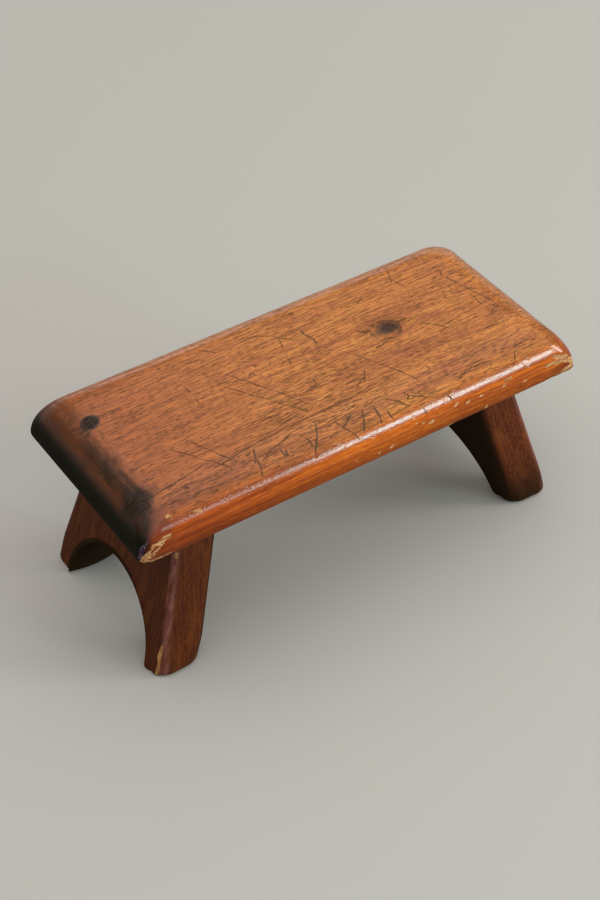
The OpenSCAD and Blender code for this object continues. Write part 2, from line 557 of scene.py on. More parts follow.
# The rest of the dirt, painted shade and painted reflection in millimetres: the line y - x that parts
# the end from the front, the smear's place along X, and how ragged each edge is; then shares from 0 to 1
seatDirtAndShade = {
    "cornerLine": 110, "cornerRagged": 6, "leftRagged": 16, "rightReflectionRagged": -14, "smearAt": -185,
    "smearRagged": 9, "brownLeast": 0.6, "brownStreaks": 0.3, "leftDull": 0.85, "takesGloss": 0.8,
}

# Marks on the seat: chains of points in millimetres from its middle, along and across
longScratches = [
    [(-143, -28), (-128, -51), (-114, -70)], [(-127, -25), (-117, -49), (-107, -67)],
    [(-71, 11), (-48, -25), (-31, -52)], [(-61, 23), (-41, -14), (-26, -45)],
    [(35, -11), (47, -34), (62, -69)], [(157, 34), (163, 11), (171, -21)], [(160, 37), (157, 31)],
    [(119, 50), (123, 34)], [(124, 64), (120, 55), (116, 46)], [(104, -10), (111, -16), (119, -28)],
    [(-29, 53), (-20, 52), (-6, 43), (10, 25)],
    [(31, -52), (6, -55), (-47, -57), (-86, -59), (-125, -65)], [(-42, -49), (-67, -54), (-87, -52)],
    [(-127, -57), (-156, -62), (-176, -64), (-186, -59)], [(135, -44), (167, -47)],
    [(-54, -63), (-75, -69), (-89, -74)], [(-21, -69), (-18, -75), (-8, -85)],
    [(43, -70), (46, -74), (60, -80)], [(46, -74), (43, -77)], [(25, -70), (29, -71), (43, -81)],
    [(90, -78), (97, -77), (103, -74), (122, -75)], [(150, -76), (146, -82), (142, -83)],
    [(148, -73), (160, -73)],
]
shortMarks = [
    [(20, 2), (28, 0)], [(115, -23), (131, -22)], [(168, 25), (177, 18)], [(166, 5), (171, -1)],
    [(162, -5), (160, -19)], [(76, 39), (84, 44)], [(12, 14), (3, 10)], [(-2, 36), (-6, 24)],
    [(-9, 14), (-12, 4)], [(14, 60), (29, 58)], [(-39, 20), (-34, 18)], [(-48, 10), (-43, 13), (-43, 8)],
    [(-7, -21), (-8, -27)], [(53, 27), (58, 29)], [(32, -34), (28, -40), (15, -48)],
    [(28, -40), (23, -47)], [(76, -56), (76, -62)], [(168, -27), (172, -28)], [(165, -29), (160, -33)],
    [(100, -38), (112, -43)], [(-96, 25), (-96, 19)], [(-96, 10), (-96, 5)], [(-63, 60), (-53, 49)],
    [(-93, -65), (-99, -66)], [(-156, -68), (-150, -70)], [(77, -83), (81, -87)], [(52, -84), (55, -88)],
]
frontGouges = [
    [(-34, -64), (-38, -71), (-48, -84)], [(-48, -72), (-47, -76), (-48, -79)],
    [(-90, -63), (-93, -70), (-95, -74)], [(-92, -71), (-93, -79), (-95, -82)], [(-68, -73), (-69, -78)],
    [(-72, -71), (-70, -78)], [(5, -69), (3, -75), (-3, -83)], [(15, -70), (15, -80), (14, -83)],
    [(-6, -70), (-13, -74), (-18, -76)], [(19, 36), (18, 28), (21, 21), (20, 14)],
    [(55, -17), (62, -16), (69, -14)], [(23, -78), (25, -83)],
]
knotTails = [
    [(88, 1), (92, 1), (99, 2)], [(89, 0), (88, -8), (82, -11)], [(75, -13), (67, -11)],
    [(74, 9), (84, 8), (89, 2)], [(72, 7), (69, 10)], [(66, 2), (55, 9)], [(-182, 27), (-189, 30)],
    [(-184, 33), (-191, 38)], [(-182, 25), (-186, 23)],
]
# Half width in millimetres, and how sharply a mark of this kind ends
markKinds = {"long": (0.8, 1.6), "short": (0.9, 1.6), "gouge": (1.25, 1.4), "tail": (2.6, 1.1)}


# Rows of short marks: turn in degrees, length and width in millimetres, share kept, and seed
seatDashes = {
    "pores": [(2, 7, 0.8, 0.22, 3)],
    "nicks": [(38, 7, 1, 0.05, 7), (62, 10, 0.9, 0.06, 19), (-30, 5, 1.1, 0.05, 29)],
    "cuts": [(24, 15, 1, 0.30, 37), (-28, 12, 1, 0.26, 43)],
    "hairs": [(17, 30, 0.9, 0.12, 51), (-22, 24, 0.9, 0.11, 57), (52, 26, 0.9, 0.09, 61)],
}
# The crowd of cuts: its middle, how its distance is counted along X, Y and Z, and its fade
seatCrowd = {"at": (-20, -41, 0), "counts": (0.55, 1, 1), "fade": (22, 50, 0.95, 0)}
# How strong each kind of mark is
markShares = {"nicks": 0.85, "hairs": 0.75, "drawn": 0.9}
# What shakes the straight marks: reach in millimetres and cells per millimetre
markShakes = {"slow": (3, 0.1), "quick": (1.5, 0.7)}
# The noise that fades the fine scratches, and the one behind the painted glints on the crushed finish
fineNoise = {"scale": 0.45, "detail": 2}
speckNoise = {"scale": 0.9, "detail": 1}


def seatGrain(g, look, flowing, upper, cloud):
    # Orange wood, redder to the left; down the edges deeper, with their red raised as painted light;
    # painted shade towards the bottom; streaked dark red along the front
    x, y, z = g.split(g.point)
    depth, fibres, rings = woodDepth(g, flowing, look)
    wood = g.ramp(depth, look["wood"])
    reddish = g.most(g.fade(cloud, "redClouds"), g.fade(x, "redLeft"))
    wood = g.mix(reddish, wood, g.ramp(depth, look["redWood"]))
    # Partly painted light: the edges deepen as under thicker finish, and their red is raised past 1 to
    # brighten them
    wood = g.mix(g.minus(1, upper), wood, look["edgeTintAndPaintedLight"], "MULTIPLY")
    # Painted shade: darker towards the bottom edge, where less light falls
    wood = g.mix(g.fade(z, "low"), wood, look["lowPaintedShade"], "MULTIPLY")
    band = g.times(g.fade(y, "front"), g.fade(x, "frontLeft"))
    streak = g.fade(g.even(g.point, *seatNoises["frontStreaks"]), "frontStreaks")
    wood = g.mix(g.times(band, streak), wood, look["streak"])
    return wood, fibres, rings


def spotGap(g, name, across):
    # Distance from the middle of a dirty spot, its edge broken up by the streaks across the grain
    spot = seatSpots[name]
    return g.timesPlus(across, spot["ragged"], g.apart(g.point, spot["at"]))


def seatGrimeAndShade(g, wood, look, cloud):
    # The left end is dark: dirt in streaks across the grain and a patch by the corner, and black down
    # the end, which is dirt with painted shade. The right end's roundover gets a painted dark reflection.
    x, y, z = g.split(g.point)
    across = g.even(g.point, *seatNoises["across"])
    # Above 0 on the end's side of the corner, below 0 on the front's side
    side = g.minus(g.minus(y, x), seatDirtAndShade["cornerLine"])
    side = g.fade(g.timesPlus(cloud, seatDirtAndShade["cornerRagged"], side), "cornerSide")
    leftEnd = g.fade(g.timesPlus(across, seatDirtAndShade["leftRagged"], x), "leftEnd")
    leftEnd = g.times(side, leftEnd)
    corner = g.timesPlus(cloud, seatSpots["corner"]["ragged"], spotGap(g, "corner", across))
    tip = g.step(spotGap(g, "tip", across), *seatSpots["tip"]["fade"])
    corner = g.times(side, g.most(g.step(corner, *seatSpots["corner"]["fade"]), tip))
    brown = g.timesPlus(across, seatDirtAndShade["brownStreaks"], seatDirtAndShade["brownLeast"])
    wood = g.mix(g.times(leftEnd, brown), wood, look["brown"])
    # A smear from the knot to the corner, just over the edge of the flat
    smear = g.timesPlus(across, seatDirtAndShade["smearRagged"], g.minus(x, seatDirtAndShade["smearAt"]))
    smear = g.fade(g.calc("ABSOLUTE", smear), "smearWidth")
    smear = g.times(smear, g.fade(y, "smearFront"))
    smear = g.times(g.times(smear, side), g.fade(cloud, "smearClouds"))
    wood = g.mix(smear, wood, look["patch"])
    wood = g.mix(corner, wood, look["patch"])
    reddened = g.step(spotGap(g, "reddened", across), *seatSpots["reddened"]["fade"])
    wood = g.mix(g.times(reddened, g.minus(1, corner)), wood, look["streak"])
    # Dirt with painted shade: the end face and the lower end roundover turn black
    blackDirtAndShade = g.times(leftEnd, g.fade(z, "blackDirtAndShade"))
    wood = g.mix(blackDirtAndShade, wood, look["blackDirtAndShade"])
    # Painted reflection: the right end's roundover is painted darker red for the dark that it mirrors
    rightEndReflection = g.timesPlus(cloud, seatDirtAndShade["rightReflectionRagged"], x)
    wood = g.mix(g.fade(rightEndReflection, "rightEndReflection"), wood, look["streak"])
    return wood, g.most(g.times(leftEnd, seatDirtAndShade["leftDull"]), blackDirtAndShade, smear, corner)


def straightMarks(g):
    # Scratches, gouges and the knots' tails, found seen from above on a point that shakes a little
    slow = g.shake(g.point, *markShakes["slow"])
    quick = g.shake(g.point, *markShakes["quick"])
    shaken = g.vector("ADD", g.point, g.vector("ADD", slow, quick))
    flat = g.vector("MULTIPLY", shaken, (1, 1, 0))
    group = strokeGroup()
    fine = strokes(g, flat, longScratches, "long", group)
    fine = strokes(g, flat, shortMarks, "short", group, fine)
    fine = g.times(fine, g.fade(g.noise(g.point, **fineNoise), "fineMarks"))
    deep = strokes(g, flat, frontGouges, "gouge", group)
    tails = strokes(g, flat, knotTails, "tail", group)
    return flat, fine, deep, tails


def scatter(g, point, kind):
    return g.most(*[dashes(g, point, *row) for row in seatDashes[kind]])


def smallMarks(g, flat, flowing, cloud):
    # Thin dark lines in the grain, nicks, and a crowd of crossing cuts near the middle
    lines = g.fade(g.even(flowing, *seatNoises["lines"]), "lines")
    pores = g.most(lines, scatter(g, flowing, "pores"))
    pores = g.times(pores, g.fade(cloud, "poreClouds"))
    nicks = g.times(scatter(g, g.point, "nicks"), markShares["nicks"])
    crowd = g.vector("MULTIPLY", g.vector("SUBTRACT", flat, seatCrowd["at"]), seatCrowd["counts"])
    crowd = g.vector("LENGTH", crowd)
    cuts = g.times(scatter(g, g.point, "cuts"), g.step(crowd, *seatCrowd["fade"]))
    hairs = g.times(scatter(g, flat, "hairs"), markShares["hairs"])
    return g.most(pores, nicks, cuts, hairs)


# Bumps: how high each layer stands, then strength and distance in millimetres. The skin is the coat's.
seatBumps = {
    "fibres": 0.10, "rings": 0.05, "strands": 1.2, "wood": (0.6, 0.4), "waves": 0.8, "skinFibres": 0.25,
    "skin": (0.14, 0.4),
}
dentNoise = {"scale": 0.4, "detail": 1}
waveNoise = {"scale": 0.2, "detail": 2}
# Roughness of the finish and what bare wood adds to it, then the coat
seatGloss = {"rough": 0.42, "bareAdds": 0.3, "coatRough": 0.15, "coatIndex": 1.5}


def seatRelief(g, fibres, rings, bare, strand):
    # One bump for the wood and its bare strands, and a softer one for the coat, with dents
    height = g.timesPlus(fibres, seatBumps["fibres"], g.times(rings, seatBumps["rings"]))
    height = g.plus(height, g.times(g.times(bare, strand), seatBumps["strands"]))
    bump = g.bump(height, *seatBumps["wood"])
    dents = g.fade(g.noise(g.point, **dentNoise), "dents")
    dents = g.timesPlus(g.noise(g.point, **waveNoise), seatBumps["waves"], dents)
    dents = g.timesPlus(fibres, seatBumps["skinFibres"], dents)
    return bump, g.bump(dents, *seatBumps["skin"])


def seatMaterial(look, knots):
    g = FinishGraph("seatWood", seatFades)
    z = g.split(g.point)[2]
    upper = g.fade(z, "upper")
    cloud = g.even(g.point, *seatNoises["cloud"])
    flowing = aroundKnots(g, g.point, knots)
    wood, fibres, rings = seatGrain(g, look, flowing, upper, cloud)
    flat, fine, deep, tails = straightMarks(g)
    wood, dull = withKnots(g, wood, look, seatHalos + knots, tails)
    wood, grimeAndShade = seatGrimeAndShade(g, wood, look, cloud)
    small = g.times(smallMarks(g, flat, flowing, cloud), upper)
    wood = g.mix(g.times(g.most(fine, small), markShares["drawn"]), wood, look["scratch"])
    wood = g.mix(g.times(deep, markShares["drawn"]), wood, look["gouge"])
    scratched = g.most(fine, deep, small)
    # Painted highlight: a purple-grey sheen with pale glints on the crushed finish by the left corner's chip
    specks = g.fade(g.noise(g.point, **speckNoise), "specks")
    sheened = g.mix(specks, look["crushedSheen"], look["crushedGlint"])
    wood = g.mix(g.mark("crushedSheen"), wood, sheened)
    wood, bare, strand = bareStrands(g, wood, look, g.point)
    worn = g.most(bare, scratched, g.times(g.most(grimeAndShade, dull), seatDirtAndShade["takesGloss"]))
    weight = g.times(g.within(g.minus(1, worn)), g.fade(z, "gloss"))
    bump, skin = seatRelief(g, fibres, rings, bare, strand)
    return varnished(g, wood, bare, bump, weight, skin, seatGloss)


# Leg board finish

legLook = {
    "heart": (12, 70),
    "ringPitch": 3.4,
    "wanderScale": (0.006, 0.03, 0.03),
    "wander": 10,
    "wood": [
        (0.28, (0.166, 0.040, 0.0080)),
        (0.455, (0.112, 0.0226, 0.0052)),
        (0.62, (0.073, 0.0127, 0.0039)),
        (0.84, (0.028, 0.0072, 0.0028)),
    ],
    "bareWood": [
        (0.22, (0.09, 0.03, 0.012)),
        (0.38, (0.32, 0.11, 0.035)),
        (0.60, (0.66, 0.33, 0.12)),
    ],
    "glow": (0.195, 0.051, 0.009),
    "arrisSheen": (0.30, 0.115, 0.095),
    "shadeAndDirt": (0.020, 0.0155, 0.0095),
    "nick": (0.028, 0.0072, 0.0028),
}
# How much painted shade and dirt each place on a leg board takes, from 0 to 1
leftShadeAndDirt = {"inner": 0.92, "arch": 0.92, "end": 0.38, "top": 0.45, "low": 0.30, "front": 0.20}
rightShadeAndDirt = {"inner": 0.92, "arch": 0.92, "end": 0, "top": 0.30, "low": 0.82, "front": 0}
# Fades in millimetres: outwards for inner and end, from the arch's centre, in height for top and low, and
# along Y for front; the patches' is over the values of their noise
legFades = {
    "inner": (152, 158, 1, 0), "arch": (63.5, 66, 1, 0), "end": (184, 188.5, 0, 1),
    "top": (124, 137, 0, 1), "low": (4, 60, 1, 0), "front": (-72, -60, 1, 0),
    "patches": (0.45, 0.9, 0, 0.6),
}
# Noises on the legs, as on the seat, and the row of nicks
legNoises = {"patches": ((0.02, 0.09, 0.09), 3), "arrisSheenNoise": ((0.05, 0.3, 0.3), 3)}
legNicks = {"row": (0, 7, 1.2, 0.12), "share": 0.6}
# Bumps as on the seat; nicks and bare wood lie deeper
legBumps = {"fibres": 0.10, "rings": 0.08, "sunk": 0.6, "wood": (0.5, 0.4), "skin": (0.3, 0.5)}
legGloss = {"rough": 0.45, "bareAdds": 0.3, "coat": 0.3, "shadeAndDirtTakes": 0.4, "coatRough": 0.17,
            "coatIndex": 1.5}


def legShadeAndDirt(g, lean, side, shadeAndDirt):
    # Painted shade with some dirt under the seat, in the arch, on the side facing the other leg, low down
    # and on the left end
    x, y, z = g.split(g.point)
    cosLean, sinLean = math.cos(lean), math.sin(lean)
    reach = (cadHigh[0] - legShape["inset"]) / mm
    # The point in the board's own directions: out through its face, and up it from the foot
    outwards = g.timesPlus(z, sinLean, g.times(x, side * cosLean))
    upwards = g.timesPlus(z, cosLean, g.times(x, -side * sinLean))
    upwards = g.plus(upwards, reach * sinLean)
    fromArch = g.hypot(y, upwards)
    places = {"inner": outwards, "arch": fromArch, "end": outwards, "top": z, "low": z, "front": y}
    return g.most(*[g.times(g.fade(place, name), shadeAndDirt[name]) for name, place in places.items()])


def legMaterial(name, look, board):
    # The board's own length is turned onto X, the way that the grain runs
    g = FinishGraph(name, legFades)
    slope = 90 + board["side"] * legShape["splay"]
    along = g.turned(g.point, (0, slope, 0), shift=(board["seed"], 0, 0))
    depth, fibres, rings = woodDepth(g, along, look)
    wood = g.ramp(depth, look["wood"])
    patches = g.even(along, *legNoises["patches"])
    wood = g.mix(g.fade(patches, "patches"), wood, look["glow"])
    # Painted shade with some dirt, darkest where light hardly reaches the board
    shadedAndDirty = legShadeAndDirt(g, math.radians(legShape["splay"]), board["side"], board["shadeAndDirt"])
    wood = g.mix(shadedAndDirty, wood, look["shadeAndDirt"])
    # Painted highlight: a pinkish stripe down the outer front arris, as the bright floor's reflection
    arrisSheen = g.times(g.mark("arrisSheen"), g.even(along, *legNoises["arrisSheenNoise"]))
    wood = g.mix(arrisSheen, wood, look["arrisSheen"])
    nicks = dashes(g, along, *legNicks["row"], board["seed"], "3D")
    wood = g.mix(g.times(nicks, legNicks["share"]), wood, look["nick"])
    wood, bare, _ = bareStrands(g, wood, look, along)
    height = g.timesPlus(fibres, legBumps["fibres"], g.times(rings, legBumps["rings"]))
    height = g.minus(height, g.times(g.most(nicks, bare), legBumps["sunk"]))
    bump = g.bump(height, *legBumps["wood"])
    skin = g.bump(g.noise(g.point, **waveNoise), *legBumps["skin"], Normal=bump)
    weight = g.timesPlus(shadedAndDirty, -legGloss["shadeAndDirtTakes"], g.minus(legGloss["coat"], bare))
    return varnished(g, wood, bare, bump, g.within(weight), skin, legGloss)


dowelLook = {
    "wood": [(0.3, (0.66, 0.48, 0.28)), (0.7, (0.45, 0.29, 0.15))], "fibres": (0.05, 1.2, 1.2),
    "bump": (0.3, 0.3), "rough": 0.6,
}


def dowelMaterial(look):
    g = FinishGraph("dowelWood")
    fibres = g.noise(g.turned(g.point, (0, 90, 0), look["fibres"]), detail=3, roughness=0.6)
    return g.finish({
        "Base Color": g.ramp(fibres, look["wood"]),
        "Roughness": look["rough"],
        "Normal": g.bump(fibres, *look["bump"]),
    })


# Seat board: a slab with quarter-round edges

seatShape = {
    "edgeRadius": 35 * mm, "arrisRadius": 3 * mm, "frontCorner": 8 * mm, "backCorner": 12 * mm,
    "cornerSoftening": 0.3, "step": 1.16 * mm, "arrisRows": 5,
}


def roundedRing(q, half, radius):
    # A point on a rectangle goes to the nearest point of its inner rectangle, then radius outwards
    inner = np.maximum(half - radius, 0)
    core = np.clip(q, -inner, inner)
    out = q - core
    way = out / np.maximum(np.linalg.norm(out, axis=-1, keepdims=True), tiny)
    return core + radius * way, way


def seatCorner(across, shape):
    # The front corners are sharper than the back ones
    return np.where(across < 0, shape["frontCorner"], shape["backCorner"])


def seatGrid(shape, half):
    # Two arc lengths over the top: flat in the middle, then a quarter circle down each side
    arc = shape["edgeRadius"] * math.pi / 2
    past = np.linspace(0, arc, round(arc / shape["step"]) + 1)[1:]
    lines = []
    for reach in half - shape["edgeRadius"]:
        flat = np.linspace(-reach, reach, round(2 * reach / shape["step"]) + 1)
        lines.append(np.concatenate([-reach - past[::-1], flat, reach + past]))
    return np.stack(np.meshgrid(*lines, indexing="ij"), axis=-1)


def seatTop(shape, half, top):
    # Each square ring of the grid lands on the board's rounded outline at its own height
    grid = seatGrid(shape, half)
    bend = shape["edgeRadius"]
    flat = half - bend
    arc = bend * math.pi / 2
    down = np.clip((np.abs(grid) - flat).max(axis=-1, keepdims=True) / arc, 0, 1)
    share = np.clip((np.abs(grid) / flat).max(axis=-1, keepdims=True), tiny, 1)
    angle = down * math.pi / 2
    inGrid = np.where(down > 0, flat + down * arc, flat * share)
    outline = np.where(down > 0, flat + bend * np.sin(angle), flat * share)
    corner = seatCorner(grid[..., 1:], shape) + shape["cornerSoftening"] * bend * np.cos(angle)
    target = grid * outline / inGrid
    plan, way = roundedRing(target, outline, corner * share)
    verts = np.concatenate([plan, top - bend * (1 - np.cos(angle))], axis=-1)
    normals = np.concatenate([way * np.sin(angle), np.cos(angle)], axis=-1)
    return verts, normals, target


def seatArris(shape, outline, half, bottom, turn):
    # One row of the small lower rounding; turn goes from 0 on the side to a quarter circle
    small = shape["arrisRadius"]
    rowHalf = half - small * (1 - math.cos(turn))
    plan, way = roundedRing(outline * rowHalf / half, rowHalf, seatCorner(outline[:, 1:], shape))
    column = np.ones((len(outline), 1))
    verts = np.concatenate([plan, column * (bottom + small * (1 - math.sin(turn)))], axis=1)
    return verts, np.concatenate([way * math.cos(turn), -column * math.sin(turn)], axis=1)


def seatSurface(shape):
    # The top's grid, rows round its lower rounding that start at the grid's border, and the underside
    low, high = (np.array(v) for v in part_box("seat_board"))
    half = (high - low)[:2] / 2
    verts, normals, target = seatTop(shape, half, high[2])
    index = np.arange(verts[..., 0].size).reshape(verts.shape[:2])
    verts, normals = verts.reshape(-1, 3), normals.reshape(-1, 3)
    faces = gridFaces(index).tolist()
    ring = np.concatenate([index[:-1, 0], index[-1, :-1], index[:0:-1, -1], index[0, :0:-1]])
    outline = target.reshape(-1, 2)[ring]
    for row in range(1, shape["arrisRows"] + 1):
        turn = row / shape["arrisRows"] * math.pi / 2
        rowVerts, rowNormals = seatArris(shape, outline, half, low[2], turn)
        lower = np.arange(len(verts), len(verts) + len(ring))
        verts = np.concatenate([verts, rowVerts])
        normals = np.concatenate([normals, rowNormals])
        faces += np.stack([ring, lower, np.roll(lower, -1), np.roll(ring, -1)], axis=-1).tolist()
        ring = lower
    faces.append(ring[::-1].tolist())
    return verts, normals, faces


# Splintered places: capsules from start to end, in millimetres, with a radius and a depth
seatSplinters = [
    ((-203, -89, 141), (-193, -89, 152), 3.2, 1), ((-194, -89, 152), (-179, -89, 155), 1.9, 0.9),
    ((-198, -91, 145), (-186, -90, 151), 1.9, 0.8), ((-203, -90, 140), (-180, -92, 140), 2.6, 1.2),
    ((203, -88, 144), (192, -90, 151), 4.2, 1), ((194, -89, 152), (182, -88, 157), 3, 0.8),
    ((192, -90, 151), (173, -90, 153), 1.8, 0.7), ((203, -88, 144), (191, -92, 141), 3.4, 1.1),
    ((194, -92, 141), (173, -92, 138), 2.4, 1.1), ((84, -89, 156), (81, -90, 154), 1.2, 0.5),
    ((94, -90, 153), (93, -90, 152), 1.3, 0.4), ((106, -90, 153), (108, -90, 152), 1.4, 0.4),
    ((112, -92, 141), (110, -92, 140), 1.4, 0.6), ((131, -90, 153), (129, -90, 152), 1.3, 0.4),
    ((138, -88, 156), (130, -89, 156), 1.3, 0.4), ((59, -91, 150), (55, -91, 150), 1.3, 0.4),
    ((50, -90, 152), (49, -90, 152), 1.3, 0.4), ((44, -89, 154), (43, -89, 154), 1.2, 0.3),
    ((78, -92, 139), (73, -92, 139), 1.4, 0.6), ((17, -92, 144), (20, -92, 145), 1.3, 0.5),
    ((7, -92, 143), (6, -92, 143), 1.3, 0.4), ((-15, -91, 146), (-16, -91, 144), 1.3, 0.4),
    ((149, -91, 149), (152, -91, 149), 1.3, 0.4), ((-155, -84, 163), (-150, -85, 161), 1.7, 0.3),
    ((-176, -81, 166), (-174, -82, 165), 1.6, 0.3),
]
# Crushed varnish by the left corner's chip, painted with a purple-grey sheen, as capsules with a radius
seatCrushedSheens = [
    ((-204, -86, 143), (-201, -86, 151), 1.8), ((-201, -86, 151), (-196, -86, 155), 1.1),
]


# Wear, in millimetres: each noise has its cell size and seed, and each pair of heights is a fade
seatWearing = {
    "waves": (((45, 30, 30), 3), ((16, 12, 12), 4)), "narrowShare": 0.4, "deepest": 0.24,
    "heights": [(138, 146)], "fibre": ((18, 2.4, 2.4), 5), "rough": ((14, 2, 2), 6), "chipLeast": 0.75,
    "chipFibres": 0.25, "ragged": 0.5, "fall": 0.4, "taper": 45, "taperMost": 0.5, "gougeDepth": 0.28,
    "gougeSides": (1.4, 0.2), "gougeHeights": (150, 156), "sheenRagged": 0.6, "sheenFall": 0.35,
}
# Small dents at random places: how many, and the ranges of their place, radius and depth
seatPits = {
    "count": 70, "seed": 12, "alongX": (-195, 195), "alongY": (-90, 85), "radius": (1.2, 3.5),
    "depth": (0.05, 0.2), "heights": (146, 150),
}


def crushedSheens(points, rough, wear):
    crushedSheen = np.zeros(len(points))
    for start, end, radius in seatCrushedSheens:
        reach = radius * (1 + wear["sheenRagged"] * rough)
        crushedSheen = np.maximum(crushedSheen, nearLine(points, start, end, reach, wear["sheenFall"]))
    return crushedSheen


def seatDents(points, depth, wear, pits):
    # Grooves along the front gouges, and round pits that are deepest in their middle
    plan, height = points[:, :2], points[:, 2]
    for chain in frontGouges:
        for start, end in zip(chain[:-1], chain[1:]):
            groove = easeStep(segmentDistance(plan, start, end), *wear["gougeSides"])
            depth = depth + wear["gougeDepth"] * groove * easeStep(height, *wear["gougeHeights"])
    rng = np.random.default_rng(pits["seed"])
    for _ in range(pits["count"]):
        centre = np.array([rng.uniform(*pits["alongX"]), rng.uniform(*pits["alongY"])])
        radius = rng.uniform(*pits["radius"])
        pit = easeStep(np.linalg.norm(plan - centre, axis=1), radius, 0)
        depth = depth + rng.uniform(*pits["depth"]) * pit * easeStep(height, *pits["heights"])
    return depth


def seatWear(verts, normals, wear, pits):
    # Each vertex goes in by its depth, along its normal
    points = verts / mm
    depth, bare, rough = chipWood(points, handWear(points, wear), seatSplinters, wear)
    depth = seatDents(points, depth, wear, pits)
    marks = {"bareWood": bare, "crushedSheen": crushedSheens(points, rough, wear)}
    return verts - normals * (depth * mm)[:, None], marks


# Leg boards: a section carried from one foot over the arch to the other

legShape = {
    "thickness": 40 * mm, "inset": 8 * mm, "footWidth": 176 * mm, "splay": 15.8, "flare": 9.5,
    "edgeRadius": 10 * mm, "topEdgeShare": 0.08, "archRadius": 61.8 * mm, "archRise": 0.5 * mm,
    "archShift": {-1: -3.2 * mm, 1: -1 * mm}, "archBulge": 4.5 * mm, "bulgeHeights": (45 * mm, 12 * mm),
    "rim": 2 * mm, "soleRadius": 3.5 * mm, "frontToe": 7 * mm, "backToe": 4 * mm, "footWear": 0.45,
    "footWearHeight": 30 * mm, "leastSlant": 0.3, "arrisSheenShare": {-1: 1, 1: 0.45}, "arrisSheenFront": 40 * mm,
    "arrisSheenFrom": (0.35, 0.55), "arrisSheenTo": (1.3, 0.9), "sideRows": 130, "topRows": 60, "sideGather": 1.5,
    "rowsGather": 0.85, "cells": {"face": 24, "bend": 16, "edge": 14, "hollow": 20},
}


def legSection(cells):
    # A loop round the board. Each row: share of the way from arch to edge, edge inset, depth share,
    # depth in edge radii, and the rim's offsets along the face and in depth.
    face = np.linspace(0, 1, cells["face"] + 1)
    bend = np.linspace(0, math.pi / 2, cells["bend"] + 1)[1:]
    edge = np.linspace(0, 1, cells["edge"] + 1)[1:]
    hollow = np.linspace(0, 1, cells["hollow"] + 1)
    rows = [(share, 1, 0, 0, 1, 0) for share in face]
    rows += [(1, 1 - math.sin(a), 0, 1 - math.cos(a), 0, 0) for a in bend]
    rows += [(1, 0, k, 1 - 2 * k, 0, 0) for k in edge]
    rows += [(1, 1 - math.cos(a), 1, -(1 - math.sin(a)), 0, 0) for a in bend]
    rows += [(share, 1, 1, 0, 1, 0) for share in face[-2::-1]]
    rows += [(0, 0, 1 - k, 0, 0, 2 * k - 1) for k in hollow]
    return np.array(rows)


def legRows(shape, top):
    # From the back foot over the top to the front foot: height of each row's outer end, its place
    # across from 1 to -1, the edge radius, and whether it ends on the top
    up = np.linspace(0, 1, shape["sideRows"] + 1) ** shape["sideGather"]
    over = np.linspace(-1, 1, shape["topRows"] + 1)[1:-1]
    side, crown = np.ones(len(up)), np.ones(len(over))
    rise = np.concatenate([up, crown, up[::-1]]) * top
    across = np.concatenate([side, -over, -side])
    bend = np.concatenate([side, crown * shape["topEdgeShare"], side]) * shape["edgeRadius"]
    bend = bend * (1 + shape["footWear"] * easeStep(rise, shape["footWearHeight"], 0))
    onTop = np.concatenate([0 * side, crown, 0 * side])
    return rise[:, None], across[:, None], bend[:, None], onTop[:, None]


def archSide(shape, side, floor, depthShare, rows):
    # Where the rows meet the arch: the angle round it starts and ends on the floor at each depth
    u = np.linspace(0, 1, rows)
    # Rows gather towards both feet
    u = u - shape["rowsGather"] * np.sin(2 * math.pi * u) / (2 * math.pi)
    first = np.arcsin((floor - shape["archRise"]) / shape["archRadius"])
    turn = first + u[:, None] * (math.pi - 2 * first)
    up = shape["archRise"] + shape["archRadius"] * np.sin(turn)
    # Low down the arch's wall bulges between the board's two faces
    bulge = shape["archBulge"] * 4 * depthShare * (1 - depthShare)
    radius = shape["archRadius"] - bulge * easeStep(up, *shape["bulgeHeights"])
    return shape["archShift"][side] + radius * np.cos(turn), up


def legSurface(shape, side):
    # Each row runs from the arch to the board's edge, then all is leaned by the splay
    splay, flare = math.radians(shape["splay"]), math.radians(shape["flare"])
    share, inset, depthShare, depthRadii, onRim, rimDepth = legSection(shape["cells"]).T
    rise, across, bend, onTop = legRows(shape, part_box("leg_board_right")[1][2])
    depth = depthShare * shape["thickness"] + depthRadii * bend - rimDepth * shape["rim"]
    floor = depth * math.tan(splay)
    inAcross, inUp = archSide(shape, side, floor, depthShare, len(rise))
    # The edge side: up one side edge, over the top and down the other
    outUp = rise / math.cos(splay) + floor
    outAcross = (shape["footWidth"] / 2 - outUp * math.tan(flare)) * across
    wayAcross, wayUp = outAcross - inAcross, outUp - inUp
    length = np.hypot(wayAcross, wayUp)
    toSide = np.abs(wayAcross) * math.cos(flare) + wayUp * math.sin(flare)
    slant = np.where(onTop > 0, wayUp, toSide) / length
    far = length - inset * bend / np.maximum(slant, shape["leastSlant"])
    part = ((1 - share) * onRim * shape["rim"] + share * far) / length
    width, height = inAcross + part * wayAcross, inUp + part * wayUp
    reach = cadHigh[0] - shape["inset"]
    x = reach - depth * math.cos(splay) - height * math.sin(splay)
    z = -depth * math.sin(splay) + height * math.cos(splay)
    return np.stack([x, width, z], axis=-1)


def standBack(z, radius):
    # How far a rounded lower edge stands back at height z: r - sqrt(r^2 - (r - z)^2), 0 above r
    below = np.clip(radius - z, 0, radius)
    return radius - np.sqrt(radius ** 2 - below ** 2)


